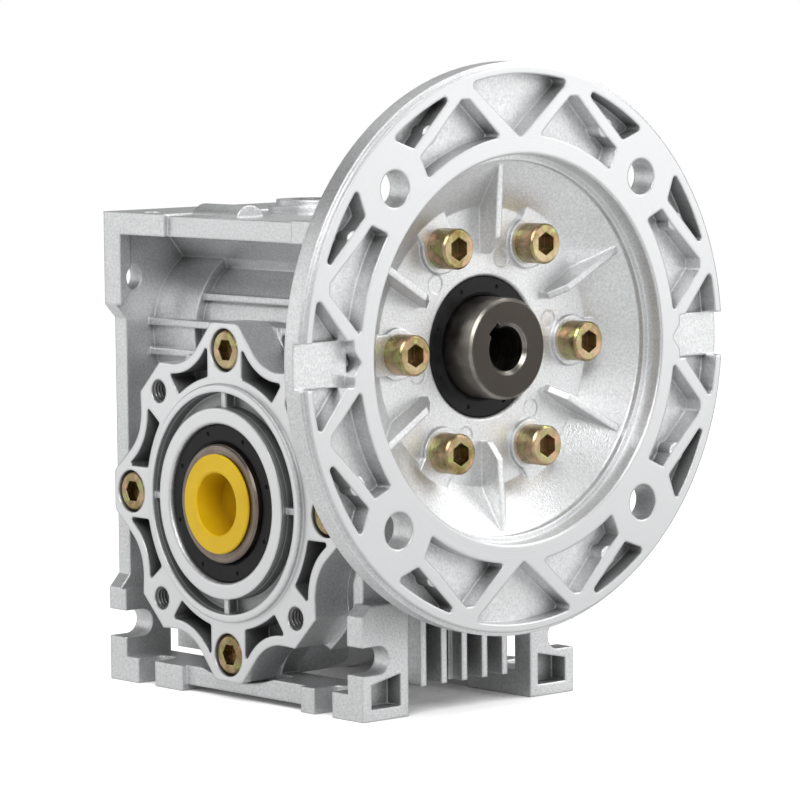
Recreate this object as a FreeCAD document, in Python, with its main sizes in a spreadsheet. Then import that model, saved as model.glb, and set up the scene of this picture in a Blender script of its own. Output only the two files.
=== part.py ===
import FreeCAD, Part
import math
import os
import re
import Sketcher

# Worm gearbox with a hollow output shaft and a round motor flange.
# Frame: millimetres, origin on the output axis at the body's middle plane,
# X towards the motor flange, Y along the output axis, Z up. The worm turns about
# an axis parallel to X, one centre distance above the output axis.

Vector = FreeCAD.Vector
EVERY_WAY = ((1, 1), (1, -1), (-1, 1), (-1, -1))
OUTLINE_TURNS = (0, 90, 180, 270)

# name, millimetres (or a count or degrees), meaning
DIMENSIONS = (
    ("worm_height", 40.0, "centre distance: worm axis above the output axis"),
    # housing
    ("body_end", 50.0, "half length of the body along X"),
    ("body_floor", 50.0, "foot face below the output axis"),
    ("body_top", 71.5, "top face above the output axis"),
    ("pad_half_width", 35.2, "half width over the mounting pads"),
    ("edge_half_width", 34.0, "half width over the recessed edges between the pads"),
    ("waist_half_width", 32.0, "half width of the back plate between its ends"),
    ("web_half_width", 31.5, "half width over the front webs"),
    ("plate_thickness", 5.7, "top plate"),
    ("back_thickness", 4.6, "back plate along its waist"),
    ("back_end_thickness", 6.6, "back plate at its feet and upper edges"),
    ("edge_rib", 3.5, "width of those thicker edges"),
    ("middle_web", 4.0, "web between the casing and the feet"),
    ("rail_thickness", 6.5, "base rails"),
    ("rail_inner", 20.5, "inner side of each base rail"),
    ("rail_half_width", 33.5, "half width over the rails between the pads"),
    ("mid_edge_lift", 1.6, "recess of the rail's middle above the foot face"),
    ("pad_rear", 20.5, "inner end of the rear base pads along X"),
    ("pad_front", 26.5, "inner end of the front base pads along X"),
    ("top_pad", 25.0, "inner end of the top pads along X"),
    ("waist_top", 46.0, "upper end of the back plate's waist"),
    ("waist_bottom", 22.5, "lower end of the back plate's waist"),
    ("hole_across", 30.0, "half spacing of the mounting holes along Y"),
    ("base_along", 35.0, "half spacing of the base and top holes along X"),
    ("slot_level", 35.1, "end slots below the output axis"),
    ("back_hole_level", 54.5, "back plate holes above the output axis"),
    ("hole_radius", 3.25, "round mounting holes"),
    ("slot_radius", 3.5, "half width of the open slots"),
    ("drum_radius", 44.5, "round wheel casing"),
    ("split_plane", 26.0, "joint plane between casing and lobed ends"),
    ("chamber_radius", 38.0, "wheel chamber"),
    ("chamber_half", 12.0, "half width of the wheel chamber's wide part"),
    ("throat_radius", 34.0, "opening that passes the wheel"),
    ("far_wall", 15.0, "inner face of the closed end's bearing wall"),
    ("barrel_radius", 23.0, "worm barrel at its rear end"),
    ("barrel_neck", 20.4, "worm barrel along its middle"),
    ("barrel_step", 28.5, "where the barrel steps down, behind the middle"),
    ("tunnel_radius", 15.2, "bore round the worm"),
    ("seat_boss", 36.5, "round boss under the motor flange"),
    ("seat_boss_depth", 11.0, "length of that boss"),
    ("gasket_thickness", 0.3, "flange gasket"),
    ("foot_back", 44.3, "inner face of the front feet"),
    ("foot_top", 24.3, "top of the feet's outer edge below the output axis"),
    ("foot_rise", 2.8, "how much higher the feet stand behind their edge"),
    ("foot_pocket_depth", 5.0, "core pocket in a front foot"),
    ("web_front", 46.0, "front face of the side webs above the feet"),
    ("web_back", 42.5, "back face of those webs"),
    ("fin_count", 5.0, "cooling fins under the flange, and as many at the back"),
    ("fin_gap", 6.8, "spacing of the cooling fins"),
    ("fin_thickness", 1.7, "cooling fin"),
    ("fin_inner", 36.0, "inner edge of the fins along X"),
    ("fin_outer", 48.0, "outer edge of the fins along X"),
    ("fin_low", 43.5, "lower end of the fins below the output axis"),
    ("fin_high", 8.0, "upper end of the front fins above the output axis"),
    ("rib_thickness", 1.8, "ribs along the barrel"),
    ("rib_front", 28.0, "front end of those ribs along X"),
    ("flank_half_length", 46.0, "half length of the sloping walls over the barrel"),
    ("oil_boss_x", -9.0, "filler boss on top"),
    ("oil_boss_radius", 10.8, "filler boss"),
    ("oil_plug_radius", 5.0, "filler plug thread"),
    ("blister_rear", -21.0, "small blister on top, rear end along X"),
    ("blister_front", -3.0, "its front end along X"),
    ("blister_side", -25.0, "its place along Y"),
    ("blister_radius", 4.6, "its rounding"),
    # lobed ends
    ("lobe_face", 36.6, "lobed face from the middle plane"),
    ("lobe_reach", 45.2, "screw lobes from the output axis"),
    ("lobe_tip", 4.0, "half width of a screw lobe's flat tip"),
    ("corner_reach", 34.0, "tapped lobes: outer corner, larger coordinate"),
    ("corner_side", 26.0, "tapped lobes: outer corner, smaller coordinate"),
    ("scallop_centre_a", 21.0, "hollow between lobes: centre, smaller coordinate"),
    ("scallop_centre_b", 47.4, "hollow between lobes: centre, larger coordinate"),
    ("scallop_radius", 13.6, "hollow between lobes"),
    ("pocket_wall", 2.4, "wall between a pocket and the outline"),
    ("pocket_side", 6.6, "pockets: side next to a screw lobe"),
    ("pocket_depth", 8.0, "pockets in the lobed faces"),
    ("ring_outer", 32.0, "solid ring inside the pockets"),
    ("register_radius", 30.0, "centring register"),
    ("register_inner", 28.0, "inner edge of the register ring"),
    ("register_face", 38.0, "face of the register ring"),
    ("hub_ring", 24.0, "outer edge of the seal hub"),
    ("hub_face", 38.7, "face of the seal hub"),
    ("groove_floor", 34.0, "floor of the groove between hub and register"),
    ("cover_screw_circle", 38.4, "cover screws from the output axis"),
    ("tapped_circle", 37.5, "tapped mounting holes from the output axis"),
    ("tapped_depth", 9.0, "tapped mounting holes"),
    ("spigot_radius", 33.9, "cover spigot"),
    ("spigot_end", 17.6, "inner end of the cover spigot"),
    ("o_ring_radius", 0.74, "cover ring's cord"),
    ("o_ring_plane", 22.5, "cover ring from the middle plane"),
    # screws
    ("screw_radius", 3.0, "M6 thread, as a plain cylinder"),
    ("screw_hole", 3.05, "threaded hole for it"),
    ("screw_clearance", 3.3, "through hole for it"),
    ("head_radius", 5.0, "socket head"),
    ("head_height", 6.0, "socket head"),
    ("screw_length", 16.0, "under the head"),
    ("socket_size", 5.0, "hexagon socket across flats"),
    ("socket_depth", 3.2, "hexagon socket"),
    ("counterbore", 5.5, "sunk seat of a cover screw"),
    ("head_sink", 0.4, "cover screw head below the face"),
    # motor flange
    ("flange_radius", 70.0, "cast rim"),
    ("flange_face", 70.0, "front face along X"),
    ("flange_turned", 69.0, "machined front face"),
    ("flange_back", 63.0, "back of the rim"),
    ("spigot_bore", 47.5, "motor register"),
    ("spigot_depth", 4.7, "motor register"),
    ("bowl_mouth", 46.0, "bowl's outer edge"),
    ("bowl_lip", 63.6, "bowl's outer edge along X"),
    ("bowl_floor", 56.0, "flat floor along X"),
    ("bowl_floor_radius", 34.5, "flat floor"),
    ("flange_holes", 57.5, "motor bolt circle, as a radius"),
    ("flange_hole_radius", 4.5, "motor bolt holes"),
    ("rim_pocket_floor", 65.0, "pockets in the rim"),
    ("notch_half", 5.5, "half width of the two rim notches"),
    ("notch_floor", 66.5, "floor of the notches along X"),
    ("notch_inner", 54.0, "inner end of the notches"),
    ("flange_screw_circle", 28.8, "screws that hold the flange"),
    ("screw_seat", 57.35, "raised pads under those screws, along X"),
    ("pad_radius", 6.3, "raised pads"),
    ("bowl_rib", 1.8, "thin ribs in the bowl"),
    ("flange_register", 23.45, "flange register in the housing"),
    ("flange_register_end", 47.8, "its inner end along X"),
    # output side
    ("shaft_half", 39.0, "half length of the hollow output shaft"),
    ("output_bore", 9.0, "output bore"),
    ("relief_bore", 9.5, "output bore where the plug sits"),
    ("relief_length", 13.0, "length of that stretch"),
    ("output_key", 6.0, "output keyway width"),
    ("output_key_reach", 11.8, "output keyway floor from the axis"),
    ("journal_radius", 15.0, "output shaft in its bearings"),
    ("shoulder_radius", 17.5, "output shaft between bearing and wheel"),
    ("hub_radius", 24.5, "wheel hub"),
    ("hub_half", 8.0, "half width of the wheel hub"),
    ("rim_half", 9.0, "half width of the wheel rim"),
    ("rim_radius", 33.0, "outside of the wheel rim"),
    ("wheel_pitch", 30.0, "pitch radius of the wheel"),
    ("wheel_teeth", 30.0, "teeth"),
    ("bearing_face", 30.4, "outer face of the output bearings"),
    ("output_seat", 27.5, "output bearing outside"),
    ("output_width", 13.0, "output bearing width"),
    ("output_pitch", 21.25, "its ball circle, as a radius"),
    ("output_ball", 3.572, "its ball radius"),
    ("output_balls", 11.0, "its balls"),
    ("output_seal_radius", 20.0, "output seal outside"),
    ("output_seal_face", 37.6, "output seal's outer face"),
    ("seal_width", 7.0, "shaft seals"),
    # worm
    ("worm_pitch", 10.0, "pitch radius of the worm"),
    ("worm_tip", 12.0, "outside of the thread"),
    ("worm_root", 7.6, "worm core"),
    ("worm_lead", 2 * math.pi, "axial advance per turn"),
    ("thread_half", 17.0, "half length of the full thread"),
    ("thread_runout", 3.0, "tapered end of the thread"),
    ("flank_angle", 20.0, "thread flank, degrees"),
    ("flank_play", 0.06, "thinning of each flank"),
    ("wheel_play", 0.12, "widening of each side of a tooth space"),
    ("tip_clearance", 0.35, "wheel root to worm tip"),
    ("root_relief", 0.2, "tooth spaces: widening at the root"),
    ("input_radius", 12.5, "input shaft"),
    ("input_end", 65.0, "end face of the input shaft"),
    ("input_bore", 5.5, "motor shaft bore"),
    ("input_bore_end", 36.0, "inner end of that bore along X"),
    ("bore_chamfer", 1.0, "mouth of the bore"),
    ("input_key", 4.0, "input keyway width"),
    ("input_key_reach", 7.3, "input keyway floor from the axis"),
    ("input_key_turn", 43.0, "input keyway from upright, degrees"),
    ("collar_radius", 14.5, "collar behind the front bearing"),
    ("front_bearing_back", 35.8, "front bearing's inner end along X"),
    ("rear_bearing_front", -33.0, "rear bearing's inner end along X"),
    ("rear_journal", 8.5, "worm in its rear bearing"),
    ("worm_rear", -47.2, "rear end of the worm"),
    ("worm_bearing_width", 12.0, "both worm bearings' width"),
    ("front_seat", 23.5, "front bearing outside"),
    ("front_pitch", 18.0, "its ball circle, as a radius"),
    ("front_ball", 3.3, "its ball radius"),
    ("front_balls", 10.0, "its balls"),
    ("rear_seat", 20.0, "rear bearing outside"),
    ("rear_pitch", 14.25, "its ball circle, as a radius"),
    ("rear_ball", 3.3735, "its ball radius"),
    ("rear_balls", 8.0, "its balls"),
    ("race_gap", 0.03, "ball to race groove"),
    ("circlip_front", -45.0, "front side of both spring rings along X"),
    ("circlip_rear", -46.85, "rear side of the housing's groove"),
    ("input_seal_radius", 17.5, "input seal outside"),
    ("input_seal_face", 55.5, "input seal's outer face along X"),
    # plug
    ("plug_head_radius", 12.55, "plug head"),
    ("plug_head", 1.0, "plug head thickness"),
    ("plug_length", 10.0, "plug stem inside the bore"),
    ("plug_hollow", 7.85, "hollow of the plug"),
    ("plug_hollow_depth", 8.5, "hollow below the plug's face"),
)
ALIASES = {name for name, size, meaning in DIMENSIONS}

doc = FreeCAD.newDocument("worm_gearbox")
sheet = doc.addObject("Spreadsheet::Sheet", "Dim")
for row, (name, size, meaning) in enumerate(DIMENSIONS, start=1):
    sheet.set(f"A{row}", repr(size))
    sheet.setAlias(f"A{row}", name)
    sheet.set(f"B{row}", "'" + meaning)
doc.recompute()


def bind(formula):
    """The formula with each dimension's name turned into a reference to the sheet."""
    def reference(match):
        word = match.group(0)
        return "Dim." + word if word in ALIASES else word

    return re.sub(r"[a-z][a-z_]*", reference, str(formula))


def value(formula):
    return float(sheet.evalExpression(bind(formula)))


def origin_plane(body):
    return next(f for f in body.Origin.OriginFeatures if f.Role == "XY_Plane")


def closed_outline(sketch, corners):
    """Straight sides between corners, each corner tied to the sheet by two distances."""
    places = [Vector(value(u), value(v), 0) for u, v in corners]
    count = len(places)
    for index, place in enumerate(places):
        sketch.addGeometry(Part.LineSegment(place, places[(index + 1) % count]), False)
    for index in range(count):
        sketch.addConstraint(Sketcher.Constraint("Coincident", index, 2, (index + 1) % count, 1))
    for index, corner in enumerate(corners):
        for kind, formula in zip(("DistanceX", "DistanceY"), corner):
            place = value(formula)
            number = sketch.addConstraint(Sketcher.Constraint(kind, -1, 1, index, 1, place))
            if place:
                sketch.setExpression(f"Constraints[{number}]", bind(formula))


def turned(label, axis, corners):
    """A body turned about the output axis ("Y") or the worm axis ("X").
    Each corner is a pair of formulas: place along the axis, radius."""
    body = doc.addObject("PartDesign::Body", label)
    sketch = body.newObject("Sketcher::SketchObject", label + "_profile")
    sketch.AttachmentSupport = (origin_plane(body), "")
    sketch.MapMode = "FlatFace"
    flat = corners if axis == "X" else [(radius, along) for along, radius in corners]
    closed_outline(sketch, flat)
    turn = body.newObject("PartDesign::Revolution", label + "_turn")
    turn.Profile = sketch
    turn.ReferenceAxis = (sketch, ["H_Axis" if axis == "X" else "V_Axis"])
    turn.Angle = 360.0
    body.Tip = turn
    if axis == "X":
        body.setExpression("Placement.Base.z", bind("worm_height"))
    return body


def block(label, x_span, y_span, z_span):
    """A box between low and high formulas along each axis."""
    box = doc.addObject("Part::Box", label)
    spans = (("Length", "x", x_span), ("Width", "y", y_span), ("Height", "z", z_span))
    for side, letter, (low, high) in spans:
        box.setExpression(side, bind(f"({high}) - ({low})"))
        box.setExpression(f"Placement.Base.{letter}", bind(low))
    return box


def rod(label, axis, radius, low, high, centre):
    """A cylinder along X, Y or Z; centre holds the other two coordinates in order."""
    cylinder = doc.addObject("Part::Cylinder", label)
    turn = {
        "X": FreeCAD.Rotation(Vector(0, 1, 0), 90),
        "Y": FreeCAD.Rotation(Vector(1, 0, 0), -90),
        "Z": FreeCAD.Rotation(),
    }[axis]
    cylinder.Placement = FreeCAD.Placement(Vector(), turn)
    cylinder.setExpression("Radius", bind(radius))
    cylinder.setExpression("Height", bind(f"({high}) - ({low})"))
    cylinder.setExpression(f"Placement.Base.{axis.lower()}", bind(low))
    others = [letter for letter in "xyz" if letter != axis.lower()]
    for letter, formula in zip(others, centre):
        cylinder.setExpression(f"Placement.Base.{letter}", bind(formula))
    return cylinder


def feature(label, shape):
    piece = doc.addObject("Part::Feature", label)
    piece.Shape = shape
    return piece


def fused(label, pieces):
    union = doc.addObject("Part::MultiFuse", label)
    union.Shapes = pieces
    return union


def cut(label, base, tools):
    difference = doc.addObject("Part::Cut", label)
    difference.Base = base
    difference.Tool = tools[0] if len(tools) == 1 else fused(label + "_tools", tools)
    return difference


def flat_face(steps, place):
    """A face inside a closed outline. A step is a corner (u, v), or ((u, v), centre)
    for an arc about centre that ends at the corner. place puts (u, v) in space."""
    corners = [step[0] if isinstance(step[0], tuple) else step for step in steps]
    edges = []
    for index, step in enumerate(steps):
        start = corners[index - 1]
        end = corners[index]
        if not isinstance(step[0], tuple):
            edges.append(Part.LineSegment(place(*start), place(*end)).toShape())
            continue
        centre = step[1]
        across = ((start[0] + end[0]) / 2 - centre[0], (start[1] + end[1]) / 2 - centre[1])
        reach = math.dist(start, centre) / math.hypot(*across)
        middle = (centre[0] + across[0] * reach, centre[1] + across[1] * reach)
        edges.append(Part.Arc(place(*start), place(*middle), place(*end)).toShape())
    return Part.Face(Part.Wire(edges))


def softened(prism, along, radius):
    """The prism with the edges that run along its length rounded."""
    sides = [e for e in prism.Edges if abs(e.tangentAt(e.FirstParameter).dot(along)) > 0.99]
    return prism.makeFillet(radius, sides)


def around(shape, axis, angles, centre=Vector()):
    copies = []
    for angle in angles:
        copy = shape.copy()
        copy.rotate(centre, axis, angle)
        copies.append(copy)
    return copies


# ---------------------------------------------------------------- lobed ends

def on_lobed_plane(u, v):
    return Vector(u, 0, v)


def lobed_outline():
    """One quarter from the upper lobe to the tapped lobe and on, turned four times."""
    reach, tip = value("lobe_reach"), value("lobe_tip")
    hollow = (value("scallop_centre_a"), value("scallop_centre_b"))
    radius = value("scallop_radius")
    shoulder = (tip + 2.2, reach - 1.4)
    to_shoulder = math.atan2(shoulder[1] - hollow[1], shoulder[0] - hollow[0])
    swing = math.acos(radius / math.dist(shoulder, hollow))
    angle = to_shoulder + swing
    touch = (hollow[0] + radius * math.cos(angle), hollow[1] + radius * math.sin(angle))
    low = (hollow[0], hollow[1] - radius)
    corner = (value("corner_side"), value("corner_reach"))
    half = [(0, reach), (tip, reach), (shoulder, (tip, reach - 2.4)), touch, (low, hollow), corner]
    swapped = [(corner[1], corner[0])]
    swapped.append((low[1], low[0]))
    swapped.append(((touch[1], touch[0]), (hollow[1], hollow[0])))
    swapped.append((shoulder[1], shoulder[0]))
    swapped.append(((reach, tip), (reach - 2.4, tip)))
    quarter = half[1:] + swapped

    def turned_point(point, angle):
        c, s = round(math.cos(angle)), round(math.sin(angle))
        return (point[0] * c + point[1] * s, -point[0] * s + point[1] * c)

    steps = []
    for turn in range(4):
        for step in quarter:
            if isinstance(step[0], tuple):
                steps.append(tuple(turned_point(p, turn * math.pi / 2) for p in step))
            else:
                steps.append(turned_point(step, turn * math.pi / 2))
    return flat_face(steps, on_lobed_plane)


def lobe_pockets(depth):
    """Eight pockets between the ring and the outline, as one tool from y = 0 to depth."""
    hollow = (value("scallop_centre_a"), value("scallop_centre_b"))
    wall = value("scallop_radius + pocket_wall")
    ring = value("ring_outer")
    side = value("pocket_side")
    side_top = hollow[1] - math.sqrt(wall ** 2 - (hollow[0] - side) ** 2)
    outer = (22.5, hollow[1] - math.sqrt(wall ** 2 - (hollow[0] - 22.5) ** 2))
    inner = (ring * math.sin(math.radians(35)), ring * math.cos(math.radians(35)))
    start = (side, math.sqrt(ring ** 2 - side ** 2))
    steps = [(start, (0, 0)), (side, side_top), (outer, hollow), inner]
    prism = flat_face(steps, on_lobed_plane).extrude(Vector(0, depth, 0))
    prism = softened(prism, Vector(0, 1, 0), 0.7)
    both = [prism, prism.mirror(Vector(), Vector(1, 0, 0))]
    return [copy for one in both for copy in around(one, Vector(0, 1, 0), OUTLINE_TURNS)]


def lobed_end(label, side, inner_corners):
    """Ring, hub and lobed plate of one output end; side is -1 or 1 along Y.
    inner_corners finish the ring's profile on its inner side."""
    sign = "-1 * " if side < 0 else ""

    def at(formula):
        return f"{sign}({formula})"

    ring = turned(label + "_ring", "Y", [
        (at("bearing_face"), "output_seal_radius"),
        (at("hub_face - 0.5"), "output_seal_radius"),
        (at("hub_face"), "output_seal_radius + 0.5"),
        (at("hub_face"), "hub_ring"),
        (at("groove_floor"), "hub_ring + 0.3"),
        (at("groove_floor"), "register_inner - 0.3"),
        (at("register_face"), "register_inner"),
        (at("register_face"), "register_radius - 0.4"),
        (at("register_face - 0.4"), "register_radius"),
        (at("lobe_face"), "register_radius"),
        (at("lobe_face"), "ring_outer - 0.4"),
    ] + [(at(along), radius) for along, radius in inner_corners])
    low, high = sorted((value("split_plane") * side, value("lobe_face") * side))
    plate = lobed_outline()
    plate.translate(Vector(0, low, 0))
    plate = plate.extrude(Vector(0, high - low, 0))
    core = Part.makeCylinder(value("ring_outer - 1.5"), 2 * value("lobe_face"),
                             Vector(0, -value("lobe_face"), 0), Vector(0, 1, 0))
    plate = plate.cut(core)
    pockets = lobe_pockets(value("pocket_depth"))
    inset = high - value("pocket_depth") if side > 0 else low
    for pocket in pockets:
        pocket.translate(Vector(0, inset, 0))
    plate = plate.cut(pockets)
    bars = []
    for index, (x, z) in enumerate(((1, 0), (-1, 0), (0, 1), (0, -1))):
        near, far = "hub_ring - 0.5", "register_inner + 0.5"
        spans = []
        for way in (x, z):
            if way > 0:
                spans.append((near, far))
            elif way < 0:
                spans.append((f"-({far})", f"-({near})"))
            else:
                spans.append(("-0.8", "0.8"))
        levels = ("groove_floor - 0.5", "lobe_face + 0.4")
        if side < 0:
            levels = ("-(lobe_face + 0.4)", "-(groove_floor - 0.5)")
        bars.append(block(f"{label}_bar_{index}", spans[0], levels, spans[1]))
    return [ring, feature(label + "_plate", plate)] + bars


def radial_holes(label, axis, radius, circle, angles, low, high):
    """Equal holes on a circle about the output axis ("Y") or the worm axis ("X").
    Angles are counted from +X towards +Z, or from +Y towards +Z."""
    holes = []
    for index, angle in enumerate(angles):
        across = f"({circle}) * cos({angle} deg)"
        up = f"({circle}) * sin({angle} deg)"
        if axis == "X":
            up = f"worm_height + {up}"
        holes.append(rod(f"{label}_{index}", axis, radius, low, high, (across, up)))
    return holes


# ---------------------------------------------------------------- side cover

cover_parts = lobed_end("cover", -1, [
    ("split_plane", "ring_outer - 0.4"),
    ("split_plane", "spigot_radius"),
    ("o_ring_plane + 1.2", "spigot_radius"),
    ("o_ring_plane + 1.2", "spigot_radius - 1.5"),
    ("o_ring_plane - 1.2", "spigot_radius - 1.5"),
    ("o_ring_plane - 1.2", "spigot_radius"),
    ("spigot_end + 0.5", "spigot_radius"),
    ("spigot_end", "spigot_radius - 0.5"),
    ("spigot_end", "output_seat"),
    ("bearing_face", "output_seat"),
])
TAPPED_ANGLES = (45, 135, 225, 315)
cover_holes = radial_holes("cover_tapped", "Y", "screw_radius", "tapped_circle", TAPPED_ANGLES,
                           "-lobe_face - 1", "tapped_depth - lobe_face")
cover_holes += radial_holes("cover_through", "Y", "screw_clearance", "cover_screw_circle",
                            OUTLINE_TURNS, "-lobe_face - 1", "-split_plane + 1")
cover_holes += radial_holes("cover_sink", "Y", "counterbore", "cover_screw_circle",
                            OUTLINE_TURNS, "-lobe_face - 1", "head_height + head_sink - lobe_face")
side_cover = cut("side_cover", fused("cover_solid", cover_parts), cover_holes)

o_ring = doc.addObject("Part::Torus", "side_cover_o_ring")
o_ring.Placement = FreeCAD.Placement(Vector(), FreeCAD.Rotation(Vector(1, 0, 0), -90))
o_ring.setExpression("Radius1", bind("spigot_radius - 0.75"))
o_ring.setExpression("Radius2", bind("o_ring_radius"))
o_ring.setExpression("Placement.Base.y", bind("-o_ring_plane"))


def socket_screw():
    """One M6 screw on +Z: seat under the head at z = 0, thread below, socket on top."""
    head = Part.makeCylinder(value("head_radius"), value("head_height"))
    head = head.makeChamfer(0.5, [e for e in head.Edges if e.BoundBox.ZMin > 1 and e.Closed])
    shank = Part.makeCylinder(value("screw_radius"), value("screw_length"),
                              Vector(0, 0, -value("screw_length")))
    shank = shank.makeChamfer(0.6, [e for e in shank.Edges if e.BoundBox.ZMax < -1 and e.Closed])
    corner = value("socket_size") / math.sqrt(3)
    corners = [Vector(corner * math.cos(k * math.pi / 3), corner * math.sin(k * math.pi / 3),
                      value("head_height - socket_depth")) for k in range(7)]
    socket = Part.Face(Part.makePolygon(corners)).extrude(Vector(0, 0, value("socket_depth") + 1))
    return head.fuse(shank).cut(socket)


def screw_group(label, seats, direction):
    """Screws with their seats at the given places, heads towards direction."""
    turn = FreeCAD.Rotation(Vector(0, 0, 1), direction)
    screws = []
    for seat in seats:
        screw = socket_screw()
        screw.Placement = FreeCAD.Placement(seat, turn)
        screws.append(screw)
    return feature(label, Part.makeCompound(screws))


cover_seat = value("head_height + head_sink - lobe_face")
cover_circle = value("cover_screw_circle")
cover_seats = [Vector(cover_circle * math.cos(math.radians(a)), cover_seat,
                      cover_circle * math.sin(math.radians(a))) for a in OUTLINE_TURNS]
side_cover_screws = screw_group("side_cover_screws", cover_seats, Vector(0, -1, 0))


# ---------------------------------------------------------------- housing

def on_end_plane(u, v):
    return Vector(0, u, v)


def end_prism(label, corners, low, high):
    """A prism along X from a (y, z) outline."""
    prism = flat_face(corners, on_end_plane).extrude(Vector(high - low, 0, 0))
    prism.translate(Vector(low, 0, 0))
    return feature(label, prism)


def mirrored(corners):
    return corners + [(-y, z) for y, z in reversed(corners)]


drum = rod("casing_drum", "Y", "drum_radius", "-split_plane", "split_plane + 1", ("0", "0"))
scoop_places = []
for a, b in EVERY_WAY:
    near = value("scallop_centre_a")
    far = value("scallop_centre_b")
    scoop_places += [(a * near, b * far), (a * far, b * near)]
scoops = []
for x, z in scoop_places:
    for side in (-1, 1):
        outside = Vector(x, side * (value("split_plane") + 2), z)
        inside = Vector(x, side * 20, z)
        inward = Vector(0, -side, 0)
        scoops.append(Part.makeCylinder(value("scallop_radius"), abs(outside.y) - 20, outside, inward))
        scoops.append(Part.makeCone(value("scallop_radius"), value("scallop_radius") - 6.5, 6,
                                    inside, inward))
casing = cut("casing", drum, [feature("casing_scoops", Part.makeCompound(scoops))])

far_end = lobed_end("far_end", 1, [
    ("split_plane - 4", "ring_outer - 0.4"),
    ("split_plane - 4", "output_seat"),
    ("bearing_face", "output_seat"),
])

solids = [casing] + far_end
solids.append(rod("barrel_rear", "X", "barrel_radius", "-body_end", "-barrel_step", ("0", "worm_height")))
solids.append(rod("barrel_middle", "X", "barrel_neck", "-barrel_step - 1", "body_end - 10",
                  ("0", "worm_height")))
seat_boss = rod("seat_boss_round", "X", "seat_boss", "body_end - seat_boss_depth",
                "body_end - gasket_thickness", ("0", "worm_height"))
boss_top = block("seat_boss_top", ("0", "body_end + 10"), ("-60", "60"), ("body_top", "body_top + 40"))
solids.append(cut("seat_boss_solid", seat_boss, [boss_top]))
flank_half = value("flank_half_length")
solids.append(end_prism("barrel_flanks", mirrored([(8, 48), (12.9, 59.2), (19, 66.5)]),
                        -flank_half, flank_half))

solids.append(block("top_plate", ("-body_end", "body_end - gasket_thickness"),
                    ("-edge_half_width", "edge_half_width"),
                    ("body_top - plate_thickness", "body_top - 0.5")))
for index, span in enumerate((("-body_end", "-top_pad"), ("top_pad", "body_end - gasket_thickness"))):
    solids.append(block(f"top_pad_{index}", span, ("-pad_half_width", "pad_half_width"),
                        ("body_top - plate_thickness", "body_top")))

pad, waist = value("pad_half_width"), value("waist_half_width")
waist_top, waist_bottom = value("waist_top"), value("waist_bottom")
gap, gap_top = value("rail_inner"), -value("foot_top") + value("foot_rise")
back_end = -value("body_end")
inner_face = back_end + value("back_thickness")
deep_face = back_end + value("back_end_thickness")
edge = pad - value("edge_rib")
upper_end = [(pad, waist_top + 1.5), (pad, value("body_top"))]
lower_end = [
    (gap, gap_top),
    (gap, -value("body_floor")),
    (pad, -value("body_floor")),
    (pad, -waist_bottom - 3.5),
]
back_outline = lower_end + [(waist, -waist_bottom), (waist, waist_top - 2)] + upper_end
solids.append(end_prism("back_plate", mirrored(back_outline), back_end, inner_face))
for side in (-1, 1):
    foot = lower_end[1:] + [(gap, -waist_bottom - 3.5)]
    solids.append(end_prism(f"back_foot_{side}", [(side * y, z) for y, z in foot], back_end, deep_face))
    rib = upper_end + [(edge, value("body_top")), (edge, waist_top + 1.5 + value("edge_rib"))]
    solids.append(end_prism(f"back_edge_{side}", [(side * y, z) for y, z in rib], back_end, deep_face))

for name, side in (("left", -1), ("right", 1)):
    rail_y = ("rail_inner", "rail_half_width") if side > 0 else ("-rail_half_width", "-rail_inner")
    pad_y = ("rail_inner", "pad_half_width") if side > 0 else ("-pad_half_width", "-rail_inner")
    solids.append(block(f"rail_{name}", ("-body_end", "body_end"), rail_y,
                        ("mid_edge_lift - body_floor", "rail_thickness - body_floor")))
    foot_level = ("-body_floor", "rail_thickness - body_floor")
    solids.append(block(f"pad_{name}_rear", ("-body_end", "-pad_rear"), pad_y, foot_level))
    solids.append(block(f"pad_{name}_front", ("pad_front", "body_end"), pad_y, foot_level))
    foot_outline = [
        (gap, -value("body_floor")),
        (pad, -value("body_floor")),
        (pad, -value("foot_top")),
        (pad - value("foot_rise"), gap_top),
        (gap, gap_top),
    ]
    solids.append(end_prism(f"foot_{name}", [(side * y, z) for y, z in foot_outline],
                            value("foot_back"), value("body_end")))
    web_y = ("rail_inner", "web_half_width") if side > 0 else ("-web_half_width", "-rail_inner")
    solids.append(block(f"web_{name}", ("web_back", "web_front"), web_y, ("-foot_top - 1", "worm_height")))
solids.append(block("front_plate", ("web_back + 1.5", "body_end - gasket_thickness"),
                    ("-web_half_width", "web_half_width"), ("worm_height", "body_top")))

solids.append(block("lower_web", ("-foot_back", "foot_back"), ("-middle_web / 2", "middle_web / 2"),
                    ("-fin_low", "0")))
for index in range(int(value("fin_count"))):
    middle = f"fin_gap * ({index} - (fin_count - 1) / 2)"
    across = (f"{middle} - fin_thickness / 2", f"{middle} + fin_thickness / 2")
    solids.append(block(f"front_fin_{index}", ("fin_inner", "fin_outer"), across,
                        ("-fin_low", "fin_high")))
    solids.append(block(f"back_fin_{index}", ("-fin_outer", "-fin_inner"), across,
                        ("-fin_low", "-waist_bottom")))

# height above the output axis, reach to each side of the barrel, rear end along X
BARREL_RIBS = ((42.8, 24.6, -46), (35.1, 24.2, -46), (49.6, 19.7, -29))
for index, (level, reach, start) in enumerate(BARREL_RIBS):
    solids.append(block(f"barrel_rib_{index}", (f"{start}", "rib_front"), (f"-{reach}", f"{reach}"),
                        (f"{level} - rib_thickness / 2", f"{level} + rib_thickness / 2")))

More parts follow.
